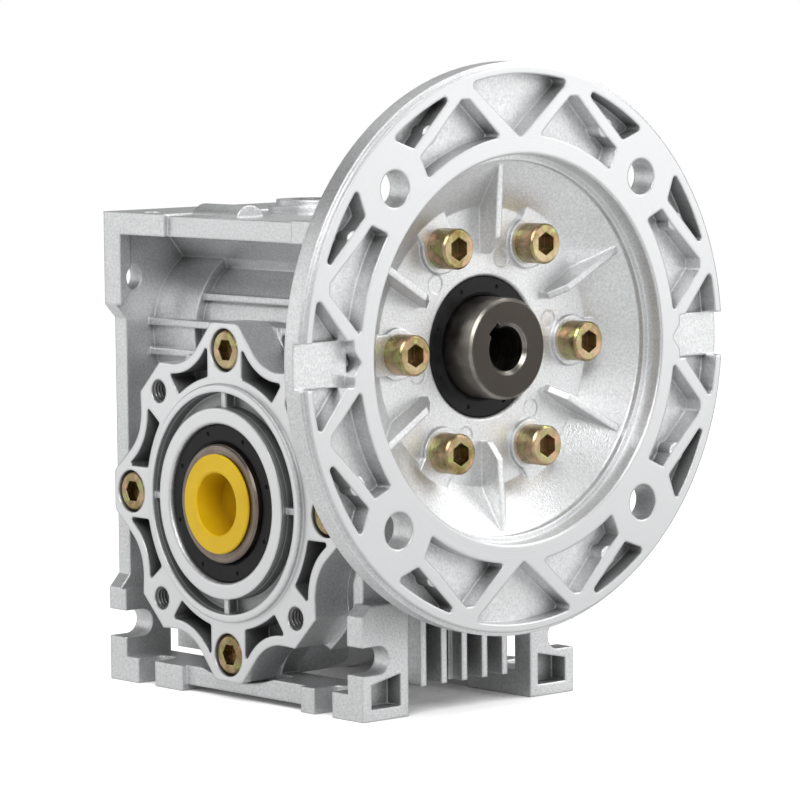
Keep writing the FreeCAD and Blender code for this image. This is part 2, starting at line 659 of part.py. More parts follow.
solids.append(rod("oil_boss_low", "Z", "oil_boss_radius", "body_top - 2", "body_top + 1.5",
                  ("oil_boss_x", "0")))
solids.append(rod("oil_boss_high", "Z", "oil_boss_radius - 2", "body_top", "body_top + 3",
                  ("oil_boss_x", "0")))
solids.append(rod("top_blister", "X", "blister_radius", "blister_rear", "blister_front",
                  ("blister_side", "body_top - 2.1")))

hollows = [
    rod("cover_room", "Y", "lobe_reach + 0.5", "-hub_face - 1", "-split_plane", ("0", "0")),
    rod("wheel_chamber", "Y", "chamber_radius", "-chamber_half", "chamber_half", ("0", "0")),
    rod("wheel_opening", "Y", "throat_radius", "-split_plane - 1", "far_wall", ("0", "0")),
    rod("far_bearing_seat", "Y", "output_seat", "far_wall - 1", "bearing_face", ("0", "0")),
    rod("far_seal_seat", "Y", "output_seal_radius", "bearing_face - 1", "hub_face - 0.5", ("0", "0")),
    rod("worm_tunnel", "X", "tunnel_radius", "rear_bearing_front - 1", "front_bearing_back + 1",
        ("0", "worm_height")),
    rod("front_bearing_seat", "X", "front_seat", "front_bearing_back", "body_end + 1",
        ("0", "worm_height")),
    rod("rear_bearing_seat", "X", "rear_seat", "-body_end - 1", "rear_bearing_front",
        ("0", "worm_height")),
    rod("circlip_groove", "X", "rear_seat + 1.25", "circlip_rear", "circlip_front", ("0", "worm_height")),
    rod("oil_passage", "Z", "oil_plug_radius - 1", "worm_height", "body_top", ("oil_boss_x", "0")),
    rod("oil_thread", "Z", "oil_plug_radius", "body_top - 3.5", "body_top + 4", ("oil_boss_x", "0")),
]
FLANGE_SCREW_ANGLES = (0, 60, 120, 180, 240, 300)
hollows += radial_holes("flange_thread", "X", "screw_hole", "flange_screw_circle",
                        FLANGE_SCREW_ANGLES, "body_end - 9.5", "body_end + 1")
hollows += radial_holes("cover_thread", "Y", "screw_hole", "cover_screw_circle",
                        OUTLINE_TURNS, "-split_plane - 1", "-split_plane + 12.8")
hollows += radial_holes("far_tapped", "Y", "screw_radius", "tapped_circle", TAPPED_ANGLES,
                        "lobe_face - tapped_depth", "lobe_face + 1")
for index, (a, b) in enumerate(EVERY_WAY):
    x = f"{a} * base_along"
    y = f"{b} * hole_across"
    outer = f"{b} * (pad_half_width + 1)"
    slot_y = (y, outer) if b > 0 else (outer, y)
    hollows.append(rod(f"top_hole_{index}", "Z", "hole_radius", "body_top - plate_thickness - 1",
                       "body_top + 1", (x, y)))
    base_levels = ("-body_floor - 1", "rail_thickness - body_floor + 1")
    hollows.append(rod(f"base_slot_{index}_end", "Z", "slot_radius", *base_levels, (x, y)))
    hollows.append(block(f"base_slot_{index}", (f"{x} - slot_radius", f"{x} + slot_radius"),
                         slot_y, base_levels))
    end_x = ("foot_back - 1", "body_end + 1")
    if a < 0:
        end_x = ("-body_end - 1", "back_end_thickness - body_end + 1")
    hollows.append(rod(f"end_slot_{index}_end", "X", "slot_radius", *end_x, (y, "-slot_level")))
    hollows.append(block(f"end_slot_{index}", end_x, slot_y,
                         ("-slot_level - slot_radius", "-slot_level + slot_radius")))
    if a < 0:
        hollows.append(rod(f"back_hole_{index}", "X", "hole_radius", *end_x, (y, "back_hole_level")))
    else:
        core = [(b * 23, -47), (b * 32.5, -47), (b * 32.5, -41), (b * 23, -39)]
        front = value("body_end")
        hollows.append(end_prism(f"foot_core_{index}", core, front - value("foot_pocket_depth"),
                                 front + 1))
housing = cut("housing", fused("housing_solid", solids), hollows)


# ---------------------------------------------------------------- motor flange

flange_turned = turned("flange_turned_form", "X", [
    ("flange_register_end", "input_seal_radius - 3"),
    ("input_seal_face - seal_width", "input_seal_radius - 3"),
    ("input_seal_face - seal_width", "input_seal_radius"),
    ("input_seal_face", "input_seal_radius"),
    ("bowl_floor", "input_seal_radius + 0.5"),
    ("bowl_floor", "bowl_floor_radius"),
    ("bowl_lip", "bowl_mouth"),
    ("flange_face - spigot_depth", "bowl_mouth"),
    ("flange_face - spigot_depth", "spigot_bore"),
    ("flange_face - 0.4", "spigot_bore"),
    ("flange_face", "spigot_bore + 0.4"),
    ("flange_face", "flange_turned"),
    ("flange_face - 1.5", "flange_turned"),
    ("flange_face - 1.5", "flange_radius"),
    ("flange_back + 0.4", "flange_radius"),
    ("flange_back", "flange_radius - 0.4"),
    ("flange_back", "flange_radius - 16.7"),
    ("body_end + 2.25", "seat_boss + 0.5"),
    ("body_end", "seat_boss"),
    ("body_end", "flange_register"),
    ("flange_register_end + 0.4", "flange_register"),
    ("flange_register_end", "flange_register - 0.4"),
])


def rim_pocket(steps, radius, both_ways):
    """One rim pocket turned to its four places, and its mirror image where wanted."""
    prism = flat_face(steps, on_end_plane).extrude(Vector(10, 0, 0))
    prism = softened(prism, Vector(1, 0, 0), radius)
    kinds = [prism]
    if both_ways:
        kinds.append(prism.mirror(Vector(), Vector(0, 1, 0)))
    return [copy for kind in kinds for copy in around(kind, Vector(1, 0, 0), OUTLINE_TURNS)]


rim_centre = (0, 0)
rim_pockets = rim_pocket([(0, 51.5), (16.4, 65), ((-16.4, 65), rim_centre)], 1.0, False)
rim_pockets += rim_pocket([((6.2, 51.8), rim_centre), (16.6, 61.2), (19.2, 61.2), (28.3, 51.6),
                           (32.4, 48.0), (30.0, 42.7)], 0.7, True)
rim_pockets += rim_pocket([(21.0, 63.3), ((41.3, 52.4), rim_centre), (34.5, 49.9), (31.8, 52.6)],
                          0.9, True)
pocket_tool = Part.makeCompound(rim_pockets)
pocket_tool.translate(Vector(value("rim_pocket_floor"), 0, value("worm_height")))

flange_adds = []
for index, (a, b) in enumerate(EVERY_WAY):
    for way, (y, z) in enumerate(((29.0 * a, 53.0 * b), (53.0 * a, 29.0 * b))):
        flange_adds.append(rod(f"rim_lug_{index}_{way}", "X", "2.3", "rim_pocket_floor - 1",
                               "flange_face - 0.5", (f"{y}", f"worm_height + {z}")))
for name, sign in (("left", "-1"), ("right", "1")):
    ends = sorted((f"{sign} * (notch_inner - 0.5)", f"{sign} * (flange_turned - 0.5)"), key=value)
    flange_adds.append(block(f"notch_block_{name}", ("rim_pocket_floor - 1", "notch_floor"), tuple(ends),
                             ("worm_height - notch_half", "worm_height + notch_half")))
notch_cuts = []
for name, sign in (("left", "-1"), ("right", "1")):
    ends = sorted((f"{sign} * notch_inner", f"{sign} * (flange_radius + 2)"), key=value)
    notch_cuts.append(block(f"notch_{name}", ("notch_floor", "flange_face + 1"), tuple(ends),
                            ("worm_height - notch_half", "worm_height + notch_half")))

pads = radial_holes("screw_pad", "X", "pad_radius", "flange_screw_circle", FLANGE_SCREW_ANGLES,
                    "bowl_floor - 1", "screw_seat")
pad_tail = Part.makeBox(value("screw_seat - bowl_floor") + 1, 7.8, 10)
pad_tail.translate(Vector(value("bowl_floor") - 1, value("flange_screw_circle"), -5))
tails = around(pad_tail, Vector(1, 0, 0), FLANGE_SCREW_ANGLES)


def on_rib_plane(u, v):
    return Vector(u, v, 0)


rib_steps = [(55.2, 23.4), (58.0, 23.0), (61.7, 27.2), (63.0, 45.2), (60.0, 45.2), (55.2, 36.0)]
bowl_rib = flat_face(rib_steps, on_rib_plane)
bowl_rib.translate(Vector(0, 0, -value("bowl_rib") / 2))
bowl_rib = bowl_rib.extrude(Vector(0, 0, value("bowl_rib")))
ribs = around(bowl_rib, Vector(1, 0, 0), [angle + 30 for angle in FLANGE_SCREW_ANGLES])
bowl_details = Part.makeCompound(tails + ribs)
bowl_details.translate(Vector(0, 0, value("worm_height")))

flange_rim = cut("flange_rim", flange_turned, [feature("rim_pockets", pocket_tool)])
flange_adds += [flange_rim, feature("bowl_details", bowl_details)] + pads
flange_solid = fused("flange_solid", flange_adds)
flange_holes = radial_holes("motor_hole", "X", "flange_hole_radius", "flange_holes",
                            TAPPED_ANGLES, "flange_back - 1", "flange_face + 1")
flange_holes += radial_holes("flange_through", "X", "screw_clearance", "flange_screw_circle",
                             FLANGE_SCREW_ANGLES, "body_end - 1", "screw_seat + 1")
flange_holes += radial_holes("ejector_mark", "X", "2.3", "22.5", [a + 14 for a in FLANGE_SCREW_ANGLES],
                             "bowl_floor - 0.2", "bowl_floor + 1")
input_flange = cut("input_flange", flange_solid, flange_holes + notch_cuts)

screw_circle = value("flange_screw_circle")
flange_seats = [Vector(value("screw_seat"), screw_circle * math.cos(math.radians(a)),
                       value("worm_height") + screw_circle * math.sin(math.radians(a)))
                for a in FLANGE_SCREW_ANGLES]
input_flange_screws = screw_group("input_flange_screws", flange_seats, Vector(1, 0, 0))

gasket_ring = turned("gasket_ring", "X", [
    ("body_end - gasket_thickness", "flange_register + 0.15"),
    ("body_end", "flange_register + 0.15"),
    ("body_end", "seat_boss - 0.6"),
    ("body_end - gasket_thickness", "seat_boss - 0.6"),
])
gasket_cuts = radial_holes("gasket_hole", "X", "screw_clearance", "flange_screw_circle",
                           FLANGE_SCREW_ANGLES, "body_end - 1", "body_end + 1")
gasket_cuts.append(block("gasket_top", ("body_end - 1", "body_end + 1"), ("-60", "60"),
                         ("body_top - 0.6", "body_top + 40")))
flange_gasket = cut("flange_gasket", gasket_ring, gasket_cuts)


# ---------------------------------------------------------------- seals, caps, plugs

# distance in from the seal's face, height above the shaft
SEAL_SECTION = (
    (7.0, 5.0), (0.4, 5.0), (0.0, 4.6), (0.0, 1.0), (0.3, 0.3), (0.6, 0.05), (1.2, 0.6), (3.4, 0.5),
    (4.0, 0.05), (4.6, 0.5), (6.0, 1.6), (6.0, 2.6), (2.0, 2.2), (2.0, 3.4), (7.0, 3.4),
)


def shaft_seal(label, axis, side, face, shaft, dot_circle, first_dot):
    """A lip seal; side is the way its face looks along the axis."""
    section = [(f"{side} * ({face} - {inward})", f"{shaft} + {height}")
               for inward, height in SEAL_SECTION]
    ring = turned(label + "_ring", axis, section)
    level = f"{side} * ({face})"
    span = (f"{level} - 0.35", f"{level} + 1") if side > 0 else (f"{level} - 1", f"{level} + 0.35")
    angles = [first_dot + 45 * index for index in range(8)]
    return cut(label, ring, radial_holes(label + "_dot", axis, "0.55", dot_circle, angles, *span))


input_oil_seal = shaft_seal("input_oil_seal", "X", 1, "input_seal_face", "input_radius", "15.3", 26.5)
output_seal_near = shaft_seal("output_seal_near", "Y", -1, "output_seal_face", "journal_radius",
                              "18", 17.6)
output_seal_far = shaft_seal("output_seal_far", "Y", 1, "output_seal_face", "journal_radius",
                             "18", 17.6)

rear_end_cap = turned("rear_end_cap", "X", [
    ("-body_end + 0.3", "0"),
    ("-body_end + 0.3", "rear_seat - 0.5"),
    ("-body_end + 0.8", "rear_seat"),
    ("-body_end + 3", "rear_seat"),
    ("-body_end + 3", "rear_seat - 1.5"),
    ("-body_end + 1.8", "rear_seat - 1.8"),
    ("-body_end + 1.8", "0"),
])

oil_stem = rod("oil_stem", "Z", "oil_plug_radius", "body_top - 3.5", "body_top + 3", ("oil_boss_x", "0"))
key_corner = 2.9
key_points = [Vector(value("oil_boss_x") + key_corner * math.cos(k * math.pi / 3),
                     key_corner * math.sin(k * math.pi / 3), value("body_top") - 0.5) for k in range(7)]
oil_key = Part.Face(Part.makePolygon(key_points)).extrude(Vector(0, 0, 5))
oil_plug = cut("oil_plug", oil_stem, [feature("oil_plug_key", oil_key)])

bore_plug = turned("bore_plug", "Y", [
    ("plug_length - shaft_half", "0"),
    ("plug_length - shaft_half", "relief_bore - 0.6"),
    ("plug_length - shaft_half - 1.5", "relief_bore - 0.05"),
    ("-shaft_half", "relief_bore - 0.05"),
    ("-shaft_half", "plug_head_radius - 0.4"),
    ("-shaft_half - 0.3", "plug_head_radius"),
    ("-shaft_half - plug_head + 0.25", "plug_head_radius"),
    ("-shaft_half - plug_head", "plug_head_radius - 0.25"),
    ("-shaft_half - plug_head", "plug_hollow + 0.4"),
    ("-shaft_half - plug_head + 0.4", "plug_hollow"),
    ("plug_hollow_depth - shaft_half - plug_head", "plug_hollow - 0.15"),
    ("plug_hollow_depth - shaft_half - plug_head", "0"),
])


# ---------------------------------------------------------------- bearings

def bearing_ring(label, axis, middle, width, inner, outer, groove_circle, groove_radius):
    ring = turned(label + "_blank", axis, [
        (f"{middle} - {width} / 2", inner),
        (f"{middle} + {width} / 2", inner),
        (f"{middle} + {width} / 2", outer),
        (f"{middle} - {width} / 2", outer),
    ])
    groove = doc.addObject("Part::Torus", label + "_groove")
    across = Vector(0, 1, 0) if axis == "X" else Vector(1, 0, 0)
    groove.Placement = FreeCAD.Placement(Vector(), FreeCAD.Rotation(across, 90 if axis == "X" else -90))
    groove.setExpression("Radius1", bind(groove_circle))
    groove.setExpression("Radius2", bind(groove_radius))
    groove.setExpression(f"Placement.Base.{axis.lower()}", bind(middle))
    if axis == "X":
        groove.setExpression("Placement.Base.z", bind("worm_height"))
    return cut(label, ring, [groove])


def bearing(label, axis, middle, width, inner, outer, kind):
    """A deep groove ball bearing: two rings, the balls and the cage between them.
    kind names the sheet's ball circle, ball radius and number of balls."""
    circle, ball, count = f"{kind}_pitch", f"{kind}_ball", f"{kind}_balls"
    groove = f"{ball} + race_gap"
    outer_ring = bearing_ring(label + "_outer_ring", axis, middle, width,
                              f"{circle} + 0.45 * {ball}", outer, circle, groove)
    inner_ring = bearing_ring(label + "_inner_ring", axis, middle, width,
                              inner, f"{circle} - 0.45 * {ball}", circle, groove)
    line = Vector(1, 0, 0) if axis == "X" else Vector(0, 1, 0)
    centre = line * value(middle)
    if axis == "X":
        centre += Vector(0, 0, value("worm_height"))
    number = int(value(count))
    angles = [360 * index / number for index in range(number)]
    first = Part.makeSphere(value(ball), centre + Vector(0, 0, value(circle)))
    balls = feature(label + "_balls", Part.makeCompound(around(first, line, angles, centre)))
    half = value(ball) * 1.15
    start = centre - line * half
    cage = Part.makeCylinder(value(f"{circle} + 0.3 * {ball}"), 2 * half, start, line)
    cage = cage.cut(Part.makeCylinder(value(f"{circle} - 0.3 * {ball}"), 2 * half, start, line))
    room = Part.makeSphere(value(ball) + 0.05, centre + Vector(0, 0, value(circle)))
    cage = cage.cut(around(room, line, angles, centre))
    return [outer_ring, inner_ring, balls, feature(label + "_cage", cage)]


near_middle = "output_width / 2 - bearing_face"
far_middle = "bearing_face - output_width / 2"
bearings = bearing("output_bearing_near", "Y", near_middle, "output_width",
                   "journal_radius", "output_seat", "output")
bearings += bearing("output_bearing_far", "Y", far_middle, "output_width",
                    "journal_radius", "output_seat", "output")
bearings += bearing("worm_bearing_front", "X", "front_bearing_back + worm_bearing_width / 2",
                    "worm_bearing_width", "input_radius", "front_seat", "front")
bearings += bearing("worm_bearing_rear", "X", "rear_bearing_front - worm_bearing_width / 2",
                    "worm_bearing_width", "rear_journal", "rear_seat", "rear")


def circlip(label, low, high, inner, outer, gap, ears_inside):
    """A spring ring round the worm axis with two drilled ears at its gap."""
    line = Vector(1, 0, 0)
    start = Vector(low, 0, value("worm_height"))
    thickness = high - low
    ring = Part.makeCylinder(outer, thickness, start, line)
    ring = ring.cut(Part.makeCylinder(inner, thickness, start, line))
    ear_centre = inner - 0.6 if ears_inside else outer + 0.6
    ears = []
    holes = []
    for side in (-1, 1):
        turn = side * (gap / 2 + 6)
        middle = start + Vector(0, ear_centre * math.sin(math.radians(turn)),
                                ear_centre * math.cos(math.radians(turn)))
        ears.append(Part.makeCylinder(1.9, thickness, middle, line))
        holes.append(Part.makeCylinder(0.8, thickness, middle, line))
    ring = ring.fuse(ears).cut(holes)
    reach = outer + 3
    half = math.radians(gap / 2)
    wedge = Part.makePolygon([start, start + Vector(0, reach * math.sin(half), reach * math.cos(half)),
                              start + Vector(0, -reach * math.sin(half), reach * math.cos(half)), start])
    ring = ring.cut(Part.Face(wedge).extrude(Vector(thickness, 0, 0)))
    return feature(label, ring)


housing_circlip = circlip("housing_circlip", -46.75, -45.0, 18.0, 21.2, 16, True)
worm_shaft_circlip = circlip("worm_shaft_circlip", -46.05, -45.05, 8.15, 10.0, 30, False)


# ---------------------------------------------------------------- worm

worm_core = turned("worm_core", "X", [
    ("worm_rear", "0"),
    ("worm_rear", "rear_journal - 0.5"),
    ("worm_rear + 0.5", "rear_journal"),
    ("-46.1", "rear_journal"),
    ("-46.1", "rear_journal - 0.4"),
    ("-45.0", "rear_journal - 0.4"),
    ("-45.0", "rear_journal"),
    ("rear_bearing_front", "rear_journal"),
    ("rear_bearing_front", "worm_pitch + 0.25"),
    ("-thread_half - thread_runout - 0.8", "worm_pitch + 0.25"),
    ("-thread_half - thread_runout", "worm_root"),
    ("thread_half + thread_runout", "worm_root"),
    ("thread_half + thread_runout + 0.8", "worm_pitch + 0.25"),
    ("front_bearing_back - 4.2", "worm_pitch + 0.25"),
    ("front_bearing_back - 3.8", "collar_radius"),
    ("front_bearing_back", "collar_radius"),
    ("front_bearing_back", "input_radius"),
    ("input_end - 0.8", "input_radius"),
    ("input_end", "input_radius - 0.8"),
    ("input_end", "input_bore + bore_chamfer"),
    ("input_end - bore_chamfer", "input_bore"),
    ("input_bore_end", "input_bore"),
    ("input_bore_end - 2", "0"),
])


def thread_half_width(radius, play):
    slope = math.tan(math.radians(value("flank_angle")))
    return value("worm_lead") / 4 + play - (radius - value("worm_pitch")) * slope


def worm_thread():
    """A right-hand thread whose section through the axis has straight flanks.
    At rest the thread's middle crosses the side next to the wheel at x = 0."""
    lead, tip, root = value("worm_lead"), value("worm_tip"), value("worm_root")
    start = -4 * lead
    inner = root - 0.3
    play = -value("flank_play")
    helix = Part.makeHelix(lead, 8 * lead, value("worm_pitch"))
    helix.Placement = FreeCAD.Placement(Vector(start, 0, 0), FreeCAD.Rotation(Vector(0, 1, 0), 90))
    section = []
    for radius, side in ((inner, -1), (inner, 1), (tip, 1), (tip, -1)):
        section.append(Vector(start + side * thread_half_width(radius, play), 0, -radius))
    profile = Part.Wire(Part.makePolygon(section + section[:1]))
    sweep = Part.Wire(helix.Edges).makePipeShell([profile], True, True)
    half = value("thread_half")
    ends = half + value("thread_runout")
    envelope = Part.makePolygon([Vector(-ends, 0, 0), Vector(-ends, 0, root - 0.2),
                                 Vector(-half, 0, tip + 0.1), Vector(half, 0, tip + 0.1),
                                 Vector(ends, 0, root - 0.2), Vector(ends, 0, 0), Vector(-ends, 0, 0)])
    envelope = Part.Face(envelope).revolve(Vector(), Vector(1, 0, 0), 360)
    thread = sweep.common(envelope)
    thread.translate(Vector(0, 0, value("worm_height")))
    return thread


worm_key = Part.makeBox(value("input_end - input_bore_end") + 1, value("input_key"),
                        value("input_key_reach"))
worm_key.translate(Vector(value("input_bore_end"), -value("input_key") / 2, 0))
worm_key.rotate(Vector(), Vector(1, 0, 0), value("input_key_turn"))
worm_key.translate(Vector(0, 0, value("worm_height")))
worm_body = fused("worm_body", [worm_core, feature("worm_thread", worm_thread())])
worm_shaft = cut("worm_shaft", worm_body, [feature("worm_keyway", worm_key)])


# ---------------------------------------------------------------- output shaft and wheel

hub_turned = turned("hub_turned", "Y", [
    ("-shaft_half", "relief_bore + 0.45"),
    ("-shaft_half + 0.45", "relief_bore"),
    ("relief_length - shaft_half", "relief_bore"),
    ("relief_length - shaft_half", "output_bore"),
    ("shaft_half - 0.5", "output_bore"),
    ("shaft_half", "output_bore + 0.5"),
    ("shaft_half", "journal_radius - 0.5"),
    ("shaft_half - 0.5", "journal_radius"),
    ("bearing_face - output_width", "journal_radius"),
    ("bearing_face - output_width", "shoulder_radius"),
    ("hub_half", "shoulder_radius"),
    ("hub_half", "hub_radius"),
    ("-hub_half", "hub_radius"),
    ("-hub_half", "shoulder_radius"),
    ("output_width - bearing_face", "shoulder_radius"),
    ("output_width - bearing_face", "journal_radius"),
    ("-shaft_half + 0.5", "journal_radius"),
    ("-shaft_half", "journal_radius - 0.5"),
])
hub_key = block("hub_keyway", ("-output_key / 2", "output_key / 2"), ("-shaft_half - 1", "shaft_half + 1"),
                ("0", "output_key_reach"))
output_hub = cut("output_hub", hub_turned, [hub_key])

rim_blank = turned("rim_blank", "Y", [
    ("-rim_half", "hub_radius"),
    ("rim_half", "hub_radius"),
    ("rim_half", "rim_radius"),
    ("-rim_half", "rim_radius"),
])
throat = doc.addObject("Part::Torus", "wheel_throat")
throat.Placement = FreeCAD.Placement(Vector(), FreeCAD.Rotation(Vector(1, 0, 0), -90))
throat.setExpression("Radius1", bind("worm_height"))
throat.setExpression("Radius2", bind("worm_height - wheel_pitch - 2"))


def flank_point(y, side, depth, sizes):
    """Where the worm's flank touches a wheel tooth in the plane at y, given the depth
    below the worm axis, as (x, z) on the wheel at rest."""
    height, pitch, lead, teeth, slope, play = sizes
    radius = math.hypot(y, depth)
    half = lead / 4 + play - (radius - pitch) * slope
    along = side * half + lead / (2 * math.pi) * math.atan2(y, depth)
    steepness = -side * slope * depth / radius - lead / (2 * math.pi) * y / radius ** 2
    touch = -(depth - pitch) / steepness
    turn = 2 * math.pi * (touch - along) / (lead * teeth)
    z = height - depth
    return (touch * math.cos(turn) - z * math.sin(turn), touch * math.sin(turn) + z * math.cos(turn))


def root_corner(y, side):
    """How far along x a tooth space's root reaches in the plane at y."""
    bottom = value("worm_tip + tip_clearance")
    half = thread_half_width(bottom, value("wheel_play")) + value("root_relief")
    return side * half + value("worm_lead") / (2 * math.pi) * math.asin(y / bottom)


def tooth_space():
    """The gap between two wheel teeth, lofted through sections across the rim."""
    slope = math.tan(math.radians(value("flank_angle")))
    sizes = (value("worm_height"), value("worm_pitch"), value("worm_lead"), value("wheel_teeth"),
             slope, value("wheel_play"))
    bottom = value("worm_tip + tip_clearance")
    beyond = value("rim_radius") + 1.6
    wires = []
    for y in (-9.2, -6.2, -3.1, 0, 3.1, 6.2, 9.2):
        deepest = math.sqrt(bottom ** 2 - y ** 2)
        sides = []
        for side in (1, -1):
            low, high = 3.0, deepest
            for _ in range(40):
                middle = (low + high) / 2
                if math.hypot(*flank_point(y, side, middle, sizes)) > beyond:
                    low = middle
                else:
                    high = middle
            depths = [high + (deepest - high) * step / 8 for step in range(9)]
            points = [Vector(x, y, z) for x, z in (flank_point(y, side, d, sizes) for d in depths)]
            flank = Part.BSplineCurve()
            flank.interpolate(points)
            root = Vector(root_corner(y, side), y, value("worm_height") - deepest)
            sides.append((points[0], flank.toShape(), points[-1], root))
        (top_right, right, low_right, root_right), (top_left, left, low_left, root_left) = sides
        wires.append(Part.Wire([
            right,
            Part.LineSegment(low_right, root_right).toShape(),
            Part.LineSegment(root_right, root_left).toShape(),
            Part.LineSegment(root_left, low_left).toShape(),
            left,
            Part.LineSegment(top_left, top_right).toShape(),
        ]))
    return Part.makeLoft(wires, True, False)


pitch_turn = 360 / value("wheel_teeth")
tooth_turns = [pitch_turn * index for index in range(int(value("wheel_teeth")))]
spaces = Part.makeCompound(around(tooth_space(), Vector(0, 1, 0), tooth_turns))
throated_rim = cut("throated_rim", rim_blank, [throat])
worm_wheel_rim = cut("worm_wheel_rim", throated_rim, [feature("tooth_spaces", spaces)])


# ---------------------------------------------------------------- check and export

PARTS = [
    housing, side_cover, side_cover_screws, o_ring, input_flange, input_flange_screws, flange_gasket,
    input_oil_seal, output_seal_near, output_seal_far, rear_end_cap, oil_plug, bore_plug,
    housing_circlip, worm_shaft_circlip, worm_shaft, output_hub, worm_wheel_rim,
] + bearings

doc.recompute()
for item in doc.Objects:
    if "Invalid" in item.State or "Error" in item.State:
        raise RuntimeError(f"{item.Label} did not rebuild: {item.State}")
os.makedirs("parts", exist_ok=True)
for part in PARTS:
    if part.Shape.isNull() or not part.Shape.isValid():
        raise RuntimeError(f"{part.Label} is not a valid solid")
    part.Shape.exportStep(os.path.join("parts", part.Label + ".step"))
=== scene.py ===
import math

import bmesh
import bpy
from mathutils import Euler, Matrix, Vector


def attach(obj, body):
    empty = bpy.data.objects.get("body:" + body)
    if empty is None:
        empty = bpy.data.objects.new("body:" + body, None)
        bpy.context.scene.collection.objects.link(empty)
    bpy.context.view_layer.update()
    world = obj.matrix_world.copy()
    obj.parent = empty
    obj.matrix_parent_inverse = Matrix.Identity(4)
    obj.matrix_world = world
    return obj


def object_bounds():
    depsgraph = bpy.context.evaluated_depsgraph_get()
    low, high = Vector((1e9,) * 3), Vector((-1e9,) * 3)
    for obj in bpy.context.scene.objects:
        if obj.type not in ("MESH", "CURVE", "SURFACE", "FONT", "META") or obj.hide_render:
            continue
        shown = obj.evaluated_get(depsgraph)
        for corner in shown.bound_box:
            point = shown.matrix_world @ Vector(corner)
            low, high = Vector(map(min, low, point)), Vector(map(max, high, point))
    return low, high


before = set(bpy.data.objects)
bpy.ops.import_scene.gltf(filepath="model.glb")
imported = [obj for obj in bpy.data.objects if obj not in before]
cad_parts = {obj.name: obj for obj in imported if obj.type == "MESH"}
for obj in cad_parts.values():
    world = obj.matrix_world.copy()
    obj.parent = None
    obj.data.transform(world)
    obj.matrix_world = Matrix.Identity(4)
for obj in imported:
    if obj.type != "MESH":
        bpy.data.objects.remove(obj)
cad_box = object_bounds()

MM = 0.001

# Levels of the CAD, in metres: the worm axis above the output axis, then the faces that were cut.
WORM_HEIGHT = 0.040
INPUT_END = 0.065
FLANGE_FACE = 0.070
FLANGE_SEAT = 0.0497
BACK_FACE = -0.050
TOP_FACE = 0.0715
FOOT_FACE = -0.050
LOBE_FACE = 0.0366
REGISTER_FACE = 0.038
HUB_FACE = 0.0387
TAPPED_CIRCLE = 0.0375
CUT_DEPTH = 0.00016

WHITE = (1.0, 1.0, 1.0, 1.0)
CAST_DARK = (0.53, 0.535, 0.54, 1.0)
CAST_LIGHT = (0.81, 0.815, 0.82, 1.0)
CAST_STAIN = (0.42, 0.42, 0.41, 1.0)
# Near black painted shade for the hollows of the cast alloy.
CAST_PAINTED_SHADE = (0.045, 0.046, 0.048, 1.0)
# Near white painted highlight for the edges of the cast alloy.
CAST_EDGE_HIGHLIGHT = (0.88, 0.89, 0.90, 1.0)
CUT_DARK = (0.60, 0.605, 0.61, 1.0)
CUT_LIGHT = (0.74, 0.745, 0.75, 1.0)
CUT_STAIN = (0.60, 0.60, 0.59, 1.0)

FLOOR_GREY = (0.25, 0.25, 0.25, 1.0)
FLOOR_GLOW = 0.96
FLOOR_GLOW_UNDER_OBJECT = 0.03
FLOOR_SHARE_AS_LIGHT = 0.52
CONTACT_REACH = 0.05
WORLD_AS_LIGHT = 0.16
# Name, place, width and height, and watts of each softbox. All look at LIT_POINT.
SOFTBOXES = (
    ("key", (0.95, -0.75, 0.95), (0.8, 0.8), 15.5),
    ("right_wall", (0.95, 0.95, 0.25), (1.0, 1.1), 6.6),
    ("right_high", (0.55, 0.95, 1.0), (0.8, 0.8), 7.5),
    ("left_wall", (-1.0, -0.9, 0.25), (1.0, 1.1), 4.5),
    ("top", (-0.2, 0.1, 1.35), (0.9, 0.9), 8.5),
)
LIT_POINT = (0.0, 0.0, 0.02)


# ---------------------------------------------------------------- camera and studio

def make_camera():
    data = bpy.data.cameras.new("camera")
    data.sensor_width = 36.0
    data.lens = 198.15
    data.clip_end = 50.0
    camera = bpy.data.objects.new("camera", data)
    camera.location = (0.85073, -0.72730, 0.12747)
    camera.rotation_euler = Euler([math.radians(angle) for angle in (84.677, 0.611, 48.578)])
    bpy.context.scene.collection.objects.link(camera)
    bpy.context.scene.camera = camera


def softbox(name, place, size, watts):
    data = bpy.data.lights.new(name, "AREA")
    data.shape = "RECTANGLE"
    data.size, data.size_y = size
    data.energy = watts
    light = bpy.data.objects.new(name, data)
    light.location = place
    light.rotation_euler = (Vector(LIT_POINT) - Vector(place)).to_track_quat("-Z", "Y").to_euler()
    bpy.context.scene.collection.objects.link(light)


def make_world():
    """White where the camera looks past the floor, dimmer as a light on the object."""
    world = bpy.data.worlds.new("studio")
    world.use_nodes = True
    nodes = world.node_tree.nodes
    background = nodes["Background"]
    background.inputs["Color"].default_value = WHITE
    seen = nodes.new("ShaderNodeLightPath").outputs["Is Camera Ray"]
    strength = nodes.new("ShaderNodeMapRange")
    world.node_tree.links.new(seen, strength.inputs["Value"])
    strength.inputs["To Min"].default_value = WORLD_AS_LIGHT
    strength.inputs["To Max"].default_value = 1.0
    world.node_tree.links.new(strength.outputs[0], background.inputs["Strength"])
    bpy.context.scene.world = world


